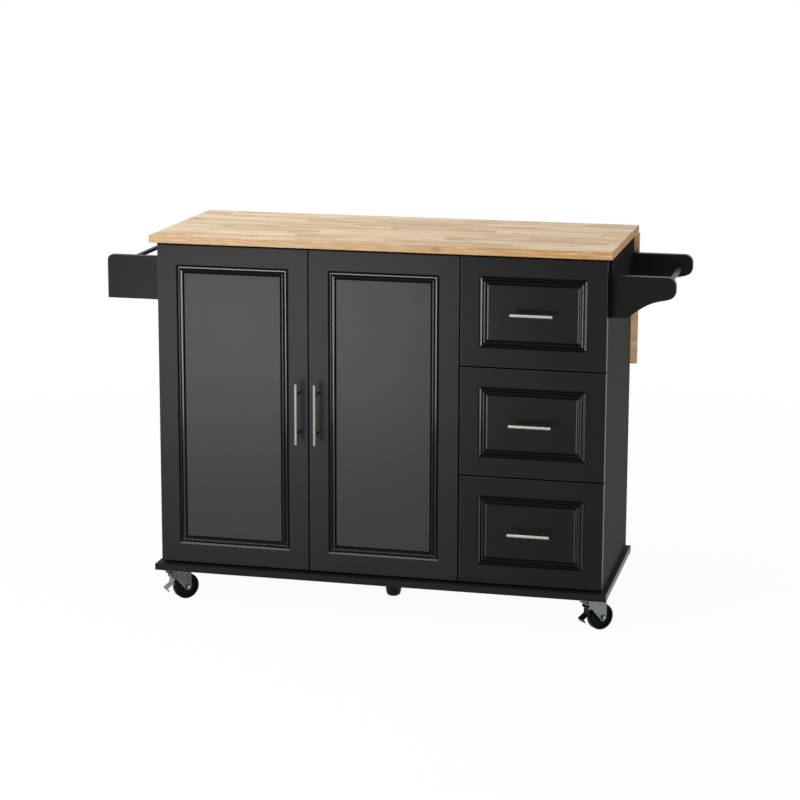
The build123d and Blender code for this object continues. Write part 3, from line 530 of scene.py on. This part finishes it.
def axleTones(coat, place, axle, colour):
    look = axleLook
    dx, dy, dz = (part - centre for part, centre in zip(place, axle["pos_m"]))
    acrossAxle = dx * axle["axis"][1] - dy * axle["axis"][0]
    fromAxle = coat.maths("SQRT", acrossAxle * acrossAxle + dz * dz)
    patches = coat.noise(coat.joined(*place), **look["patches"])
    # painted shade: the front-left fork is darkened far more than the tarnish of the others
    tarnish = look["tarnish"].get(axle["name"], look["leastTarnish"])
    tarnish = tarnish * weighted(look["patchShare"], patches=patches)
    colour = coat.mixed(tarnish, colour, look["tarnished"])
    # a ring of grime and painted shade round the bolt head
    grime = 1 - coat.between(fromAxle, *look["grime"])
    colour = coat.mixed(grime * look["grimeShare"], colour, look["dark"])
    return coat.mixed(fromAxle < look["head"], colour, look["bright"])


def metal(name, axle=None):
    look, texture = metalLooks[name], metalTexture
    coat = Finish(name + (axle["name"] if axle else ""))
    place = coat.place()
    drawn = [part * scale for part, scale in zip(place, look["drawn"])]
    strokes = coat.noise(coat.joined(*drawn), **texture["strokes"])
    clouds = coat.noise(coat.joined(*place), **texture["clouds"])
    dulled = swing(strokes) * texture["strokeShare"] + clouds * texture["cloudShare"]
    colour = coat.mixed(dulled, look["colour"], look["dull"])
    if axle:
        colour = axleTones(coat, place, axle, colour)
    roughness = look["roughness"] + swing(strokes) * texture["strokeRougher"]
    roughness = roughness + swing(clouds) * texture["cloudRougher"]
    coat.surface({"Base Color": colour, "Metallic": 1.0, "Roughness": roughness})
    coat.bump(strokes, texture["reliefDepth"], texture["reliefStrength"])
    return coat.material


# Moulded and foiled blacks: tyres, pedal and foot, drawer boxes.
plasticLooks = {
    "wheelRubber": {
        "colour": (0.0009, 0.0009, 0.0010, 1), "dusty": (0.0030, 0.0029, 0.0028, 1),
        "roughness": 0.50, "specular": 0.06, "grain": 1400,
    },
    "blackPlastic": {
        "colour": (0.0026, 0.0026, 0.0027, 1), "dusty": (0.0062, 0.0062, 0.0062, 1),
        "roughness": 0.42, "specular": 0.11, "grain": 2200,
    },
    "drawerFoil": {
        "colour": (0.016, 0.016, 0.017, 1), "dusty": (0.027, 0.026, 0.026, 1),
        "roughness": 0.55, "specular": 0.11, "grain": 700,
    },
}
plasticTexture = {
    "scuff": {"scale": 70.0, "detail": 4.0, "roughness": 0.65}, "grainDetail": 1.0,
    "scuffRange": (0.5, 0.75), "scuffShare": 0.6, "scuffRougher": 0.2,
    "reliefDepth": 0.00005, "reliefStrength": 0.6,
}


def moulded(name):
    look, texture = plasticLooks[name], plasticTexture
    skin = Finish(name)
    point = skin.joined(*skin.place())
    scuff = skin.noise(point, **texture["scuff"])
    grain = skin.noise(point, look["grain"], texture["grainDetail"])
    dusty = skin.between(scuff, *texture["scuffRange"]) * texture["scuffShare"]
    skin.surface({
        "Base Color": skin.mixed(dusty, look["colour"], look["dusty"]),
        "Roughness": look["roughness"] + swing(scuff) * texture["scuffRougher"],
        "Specular IOR Level": look["specular"],
    })
    skin.bump(grain, texture["reliefDepth"], texture["reliefStrength"])
    return skin.material


def dress(node, material):
    mesh = nodes[node].data
    mesh.materials.clear()
    mesh.materials.append(material)


doors = ("left_door", "right_door")
drawers = ("bottom_drawer", "middle_drawer", "top_drawer")
slotOf = {entry["node"]: entry["material_slot"] for entry in frame["record"]["subparts"]}
steel = metal("fittingSteel")
finishOfSlot = {
    "black_board": blackPaint("carcassBlack", "carcass"),
    "drawer_board": moulded("drawerFoil"),
    "nickel": metal("litDrawerPull"),
    "rod_steel": metal("rodSteel"),
    "fitting_steel": steel,
    "caster_zinc": metal("casterZinc"),
    "caster_wheel": moulded("wheelRubber"),
    "black_plastic": moulded("blackPlastic"),
}
for node in nodes:
    if slotOf[node] in finishOfSlot:
        dress(node, finishOfSlot[slotOf[node]])
dress("worktop", staveWood("worktop", 1))
dress("drop_leaf", staveWood("drop_leaf", 2))
# the door pulls take the shaded copy of the nickel, painted shade
shadedDoorPullMetal = metal("shadedDoorPull")
for door in doors:
    dress(door, frontPaint(door, "door"))
    dress(f"{door}_handle", shadedDoorPullMetal)
for drawer in drawers:
    dress(f"{drawer}_front", frontPaint(f"{drawer}_front", "drawer"))
spicePaint = blackPaint("spiceRackPaint", "spiceRack")
for node in ("spice_rack_ends", "spice_rack_shelf", "spice_rack_rail"):
    dress(node, spicePaint)
dress("towel_rack_brackets", blackPaint("towelRackPaint", "towelRack"))
dress("base_board", blackPaint("basePaint", "base"))
for joint in frame["record"]["behaviour"]["joints"]:
    if joint["name"].endswith("_roll"):
        fork = joint["name"].replace("_roll", "_caster_fork")
        dress(fork, metal("casterZinc", axle=joint))
print("finishes on all CAD nodes")


# Small fasteners: cross-recess pan heads, as shares of a head's radius and height.
headShape = {
    "cells": 5, "patch": 0.52, "armWidth": 1.1, "recess": 0.55,
    "crown": (0.80, 0.93), "skirt": ((0.97, 0.55), (1.0, 0.0)),
}
fixings = {
    "small": {"radius": 0.0032, "height": 0.0013},
    "large": {"radius": 0.0044, "height": 0.0022},
}


def panHead(bm, radius, height):
    # returns the new head's vertices, its seat at z = 0
    before = set(bm.verts)
    cells = headShape["cells"]
    half = headShape["patch"] * radius
    bmesh.ops.create_grid(bm, x_segments=cells, y_segments=cells, size=half)
    patch = [v for v in bm.verts if v not in before]
    bmesh.ops.translate(bm, verts=patch, vec=(0, 0, height))
    rim = [e for e in bm.edges if e.verts[0] in patch and len(e.link_faces) == 1]
    # the cross is sunk into the grid
    arm = half / cells * headShape["armWidth"]
    centres = {f: f.calc_center_median() for v in patch for f in v.link_faces}
    cross = [f for f, centre in centres.items() if abs(centre.x) < arm or abs(centre.y) < arm]
    sunk = bmesh.ops.extrude_face_region(bm, geom=cross)["geom"]
    low = [g for g in sunk if isinstance(g, bmesh.types.BMVert)]
    bmesh.ops.translate(bm, verts=low, vec=(0, 0, -headShape["recess"] * height))
    # a round crown about it, and a skirt down to the seat
    crownShare, crownLevel = headShape["crown"]
    ring = bmesh.ops.create_circle(
        bm, segments=4 * cells, radius=crownShare * radius, cap_ends=False,
    )["verts"]
    bmesh.ops.translate(bm, verts=ring, vec=(0, 0, crownLevel * height))
    ringEdges = list(dict.fromkeys(e for v in ring for e in v.link_edges))
    bmesh.ops.bridge_loops(bm, edges=rim + ringEdges)
    for share, level in headShape["skirt"]:
        grown = bmesh.ops.extrude_edge_only(bm, edges=ringEdges)["geom"]
        for v in (g for g in grown if isinstance(g, bmesh.types.BMVert)):
            flat = Vector((v.co.x, v.co.y, 0)).normalized() * radius * share
            v.co = (flat.x, flat.y, height * level)
        ringEdges = [g for g in grown if isinstance(g, bmesh.types.BMEdge)]
    return [v for v in bm.verts if v not in before]


def meshPiece(name, bm, material, body, smooth=True):
    bmesh.ops.recalc_face_normals(bm, faces=bm.faces)
    mesh = bpy.data.meshes.new(name)
    bm.to_mesh(mesh)
    bm.free()
    for face in mesh.polygons:
        face.use_smooth = smooth
    mesh.materials.append(material)
    piece = bpy.data.objects.new(name, mesh)
    bpy.context.scene.collection.objects.link(piece)
    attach(piece, body)


def screws(name, body, places, radius, height):
    bm = bmesh.new()
    for point, facing in places:
        verts = panHead(bm, radius, height)
        turn = Vector(facing).to_track_quat("Z", "Y").to_matrix().to_4x4()
        bmesh.ops.transform(bm, matrix=Matrix.Translation(point) @ turn, verts=verts)
    # the extrusions leave their faces in no fixed order, so they are put in that of their vertices
    bm.verts.index_update()
    ranked = sorted(bm.faces, key=lambda face: sorted(v.index for v in face.verts))
    ranks = {face: rank for rank, face in enumerate(ranked)}
    bm.faces.sort(key=ranks.get)
    meshPiece(name, bm, steel, body)


def spaced(low, high, count, inset):
    step = (high - low - 2 * inset) / (count - 1)
    return [low + inset + n * step for n in range(count)]


def bothEnds(low, high, inset):
    return low + inset, high - inset


weldDistance = 1e-6


def islands(node, axis=0):
    # boxes of the separate solids in one node, in order along an axis
    bm = bmesh.new()
    bm.from_mesh(nodes[node].data)
    bmesh.ops.remove_doubles(bm, verts=bm.verts, dist=weldDistance)
    seen, boxes = set(), []
    for start in bm.verts:
        if start in seen:
            continue
        stack, group = [start], []
        seen.add(start)
        while stack:
            v = stack.pop()
            group.append(v.co.copy())
            for edge in v.link_edges:
                other = edge.other_vert(v)
                if other not in seen:
                    seen.add(other)
                    stack.append(other)
        corners = [Vector([pick(p[i] for p in group) for i in range(3)]) for pick in (min, max)]
        boxes.append(corners)
    bm.free()
    return sorted(boxes, key=lambda box: (box[0][axis], box[0].z, box[0].y))


# screws of the leaf hinges
leafHingeScrews = {
    "sheet": 0.0015, "row": {"count": 3, "inset": 0.009},
    "plateInset": 0.007, "flapRises": (0.007, 0.021),
}
places = []
for low, high in islands("leaf_hinge_plates"):
    y, under = low.y + leafHingeScrews["plateInset"], high.z - leafHingeScrews["sheet"]
    row = spaced(low.x, high.x, **leafHingeScrews["row"])
    places += [((x, y, under), (0, 0, -1)) for x in row]
screws("leafHingePlateScrews", "cabinet", places, **fixings["small"])
places = []
for low, high in islands("leaf_hinge_flaps"):
    y = high.y - leafHingeScrews["sheet"]
    for x in spaced(low.x, high.x, **leafHingeScrews["row"]):
        places += [((x, y, low.z + rise), (0, -1, 0)) for rise in leafHingeScrews["flapRises"]]
screws("leafHingeFlapScrews", "drop_leaf", places, **fixings["small"])

# screws of the leaf stays, above and below each ear
stayScrews = {"sheet": 0.0025, "inset": 0.007, "rises": (-0.016, 0.016)}
for node, body, side in (("leaf_stay_feet", "cabinet", 1), ("leaf_stay_ears", "drop_leaf", -1)):
    places = []
    for low, high in islands(node):
        y = low.y + stayScrews["sheet"] if side > 0 else high.y - stayScrews["sheet"]
        middle = (low.z + high.z) / 2
        for x in bothEnds(low.x, high.x, stayScrews["inset"]):
            places += [((x, y, middle + rise), (0, side, 0)) for rise in stayScrews["rises"]]
    screws(f"{node}_screws", body, places, **fixings["small"])

# bolts of the caster plates
casterBolts = {"sheet": 0.0025, "inset": 0.007}
places = []
for low, high in islands("caster_plates"):
    under = high.z - casterBolts["sheet"]
    for x in bothEnds(low.x, high.x, casterBolts["inset"]):
        for y in bothEnds(low.y, high.y, casterBolts["inset"]):
            places.append(((x, y, under), (0, 0, -1)))
screws("casterPlateBolts", "cabinet", places, **fixings["large"])

# screws of the door hinges: two in each cup flange, two in each arm plate
hingeScrews = {"inset": 0.005, "armSheet": 0.004, "armSetback": 0.017}
for door in doors:
    places = []
    for low, high in islands(f"{door}_hinge_cups", 2):
        x = (low.x + high.x) / 2
        for z in bothEnds(low.z, high.z, hingeScrews["inset"]):
            places.append(((x, high.y, z), (0, 1, 0)))
    screws(f"{door}_cup_screws", door, places, **fixings["small"])
places = []
arms = islands("door_hinge_arms", 2)
betweenArms = sum(low.x for low, high in arms) / len(arms)
for low, high in arms:
    onLeft = low.x < betweenArms
    x = low.x + hingeScrews["armSheet"] if onLeft else high.x - hingeScrews["armSheet"]
    y = high.y - hingeScrews["armSetback"]
    for z in bothEnds(low.z, high.z, hingeScrews["inset"]):
        places.append(((x, y, z), (1 if onLeft else -1, 0, 0)))
screws("hingeArmScrews", "cabinet", places, **fixings["small"])

# handle screws behind each front, at half the spacing of the handle's posts
handleScrews = {"door": Vector((0, 0, 0.048)), "drawer": Vector((0.032, 0, 0))}
fronts = [(door, door, "door") for door in doors]
fronts += [(drawer, f"{drawer}_front", "drawer") for drawer in drawers]
for body, front, kind in fronts:
    low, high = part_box(f"{body}_handle")
    middle = (low + high) / 2
    middle.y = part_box(front)[1].y
    places = [(middle + side * handleScrews[kind], (0, 1, 0)) for side in (-1, 1)]
    screws(f"{body}_handle_screws", body, places, **fixings["large"])

# screws round the back panel
backScrews = {
    "across": {"count": 5, "inset": 0.03}, "edgeInset": 0.02,
    "upright": {"count": 4, "inset": 0.2}, "sideInset": 0.015,
}
low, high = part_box("back_panel")
points = []
for x in spaced(low.x, high.x, **backScrews["across"]):
    points += [(x, z) for z in bothEnds(low.z, high.z, backScrews["edgeInset"])]
for x in bothEnds(low.x, high.x, backScrews["sideInset"]):
    points += [(x, z) for z in spaced(low.z, high.z, **backScrews["upright"])]
places = [((x, high.y, z), (0, 1, 0)) for x, z in points]
screws("backPanelScrews", "cabinet", places, **fixings["large"])
print("fasteners placed")


# Thin boards between the racks and the cabinet's sides.
rackBoards = {"thickness": 0.006, "frontSetback": 0.002, "backSetback": 0.012, "arris": 0.0008}
boardPaint = blackPaint("rackBoardPaint", "rackBoard")


def rackBoard(name, rack, side, outwards):
    sideLow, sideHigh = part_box(side)
    face = sideHigh.x if outwards > 0 else sideLow.x
    low = Vector((face, sideLow.y + rackBoards["frontSetback"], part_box(rack)[0].z))
    high = Vector((
        face + outwards * rackBoards["thickness"],
        sideHigh.y - rackBoards["backSetback"],
        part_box("worktop")[0].z,
    ))
    bm = bmesh.new()
    bmesh.ops.create_cube(bm, size=1.0)
    bmesh.ops.scale(bm, vec=[abs(a) for a in high - low], verts=bm.verts)
    bmesh.ops.translate(bm, vec=(low + high) / 2, verts=bm.verts)
    bmesh.ops.bevel(
        bm, geom=list(bm.edges), offset=rackBoards["arris"],
        affect="EDGES", segments=2, profile=0.5, material=-1,
    )
    meshPiece(name, bm, boardPaint, "cabinet", smooth=False)


rackBoard("spiceRackBoard", "spice_rack_ends", "left_side_panel", -1)
rackBoard("towelRackBoard", "towel_rack_brackets", "right_side_panel", 1)
print("rack boards placed")


# Camera fitted to the photograph's edges; it aims at a point on the plane of the doors.
view = {
    "focalPixels": 2274.7, "imagePixels": 800, "principalRow": 340, "sensor": 36.0,
    "yaw": 13.238, "pitch": 10.904, "roll": 0.186, "distance": 5.3614,
    "aimAcross": 0.0550, "aimHeight": 0.6833, "baseOverhang": 0.017, "clip": (0.05, 60),
}


def photoCamera():
    data = bpy.data.cameras.new("photoCamera")
    camera = bpy.data.objects.new("photoCamera", data)
    bpy.context.scene.collection.objects.link(camera)
    data.sensor_width = view["sensor"]
    data.lens = view["focalPixels"] * data.sensor_width / view["imagePixels"]
    data.shift_y = (view["principalRow"] - view["imagePixels"] / 2) / view["imagePixels"]
    data.clip_start, data.clip_end = view["clip"]
    yaw, pitch, roll = (math.radians(view[key]) for key in ("yaw", "pitch", "roll"))
    forward = Vector((
        -math.sin(yaw) * math.cos(pitch), math.cos(yaw) * math.cos(pitch), -math.sin(pitch),
    ))
    right = Vector((math.cos(yaw), math.sin(yaw), 0))
    up = right.cross(forward)
    rolledRight = right * math.cos(roll) + up * math.sin(roll)
    rolledUp = up * math.cos(roll) - right * math.sin(roll)
    turn = Matrix((rolledRight, rolledUp, -forward)).transposed().to_4x4()
    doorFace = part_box("base_board")[0].y + view["baseOverhang"]
    middleX = (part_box("left_side_panel")[0].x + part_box("right_side_panel")[1].x) / 2
    aim = Vector((middleX + view["aimAcross"], doorFace, view["aimHeight"]))
    camera.matrix_world = Matrix.Translation(aim - forward * view["distance"]) @ turn
    bpy.context.scene.camera = camera


photoCamera()

# Studio: white to the eye and in reflections, a plain soft level on the object.
studio = {
    "white": (1, 1, 1, 1),
    "worldLevel": 0.42,
    "floorHalf": 30,
    "floorPaint": {
        "Base Color": (0.92, 0.92, 0.92, 1), "Roughness": 0.9, "Specular IOR Level": 0.0,
    },
    "floorGlow": 0.955,
    "floorFade": (1.2, 3.0),
    "lamps": {
        "doorSheen": {
            "place": (-0.80, -2.1, 0.37), "aim": (-0.35, -0.2, 0.55),
            "size": (1.12, 0.72), "watts": 15.5,
        },
        "leftStrip": {
            "place": (-2.7, -1.9, 0.62), "aim": (-0.2, -0.2, 0.55),
            "size": (0.45, 1.2), "watts": 26,
        },
        "rightStrip": {
            "place": (2.7, -2.1, 0.62), "aim": (0.2, -0.2, 0.55),
            "size": (0.45, 1.2), "watts": 26,
        },
        "topLeft": {
            "place": (-1.25, -2.6, 2.2), "aim": (-0.3, -0.2, 0.7),
            "size": (0.7, 0.6), "watts": 18,
        },
        "overhead": {
            "place": (-1.0, -0.6, 3.1), "aim": (-0.2, 0, 0.9),
            "size": (1.8, 1.2), "watts": 40,
        },
    },
}


def lamp(name, place, aim, size, watts):
    data = bpy.data.lights.new(name, "AREA")
    data.shape = "RECTANGLE"
    data.size, data.size_y = size
    data.energy = watts
    lampObject = bpy.data.objects.new(name, data)
    bpy.context.scene.collection.objects.link(lampObject)
    lampObject.visible_camera = False
    facing = (Vector(aim) - Vector(place)).to_track_quat("-Z", "Y")
    lampObject.matrix_world = Matrix.Translation(place) @ facing.to_matrix().to_4x4()


for name, settings in studio["lamps"].items():
    lamp(name, **settings)

world = bpy.data.worlds.new("studioWorld")
bpy.context.scene.world = world
world.use_nodes = True
sky = Graph(world.node_tree)
background = sky.tree.nodes["Background"]
levels = {"Value": sky.seenDirectly(), "To Min": studio["worldLevel"], "To Max": 1.0}
sky.feed(background.inputs["Color"], studio["white"])
sky.feed(background.inputs["Strength"], sky.add("ShaderNodeMapRange", sockets=levels))

floorMesh = bpy.data.meshes.new("studioFloor")
bm = bmesh.new()
bmesh.ops.create_grid(bm, x_segments=1, y_segments=1, size=studio["floorHalf"])
bm.to_mesh(floorMesh)
bm.free()
floor = bpy.data.objects.new("studioFloor", floorMesh)
bpy.context.scene.collection.objects.link(floor)
floorFinish = Finish("studioFloor")
floorFinish.surface(studio["floorPaint"])
# nearly self-lit to the eye, more so away from the object, so that only its shadow shows
x, y, z = floorFinish.place()
away = floorFinish.between(floorFinish.maths("SQRT", x * x + y * y), *studio["floorFade"])
glowShare = away * (1 - studio["floorGlow"]) + studio["floorGlow"]
shown = floorFinish.add("ShaderNodeMixShader", sockets={
    0: floorFinish.seenDirectly() * glowShare,
    1: Wire(floorFinish, floorFinish.shader.outputs["BSDF"]),
    2: floorFinish.add("ShaderNodeEmission"),
})
floorFinish.feed(floorFinish.end.inputs["Surface"], shown)
floorMesh.materials.append(floorFinish.material)
bpy.context.scene.view_settings.view_transform = "Standard"
print("studio ready")
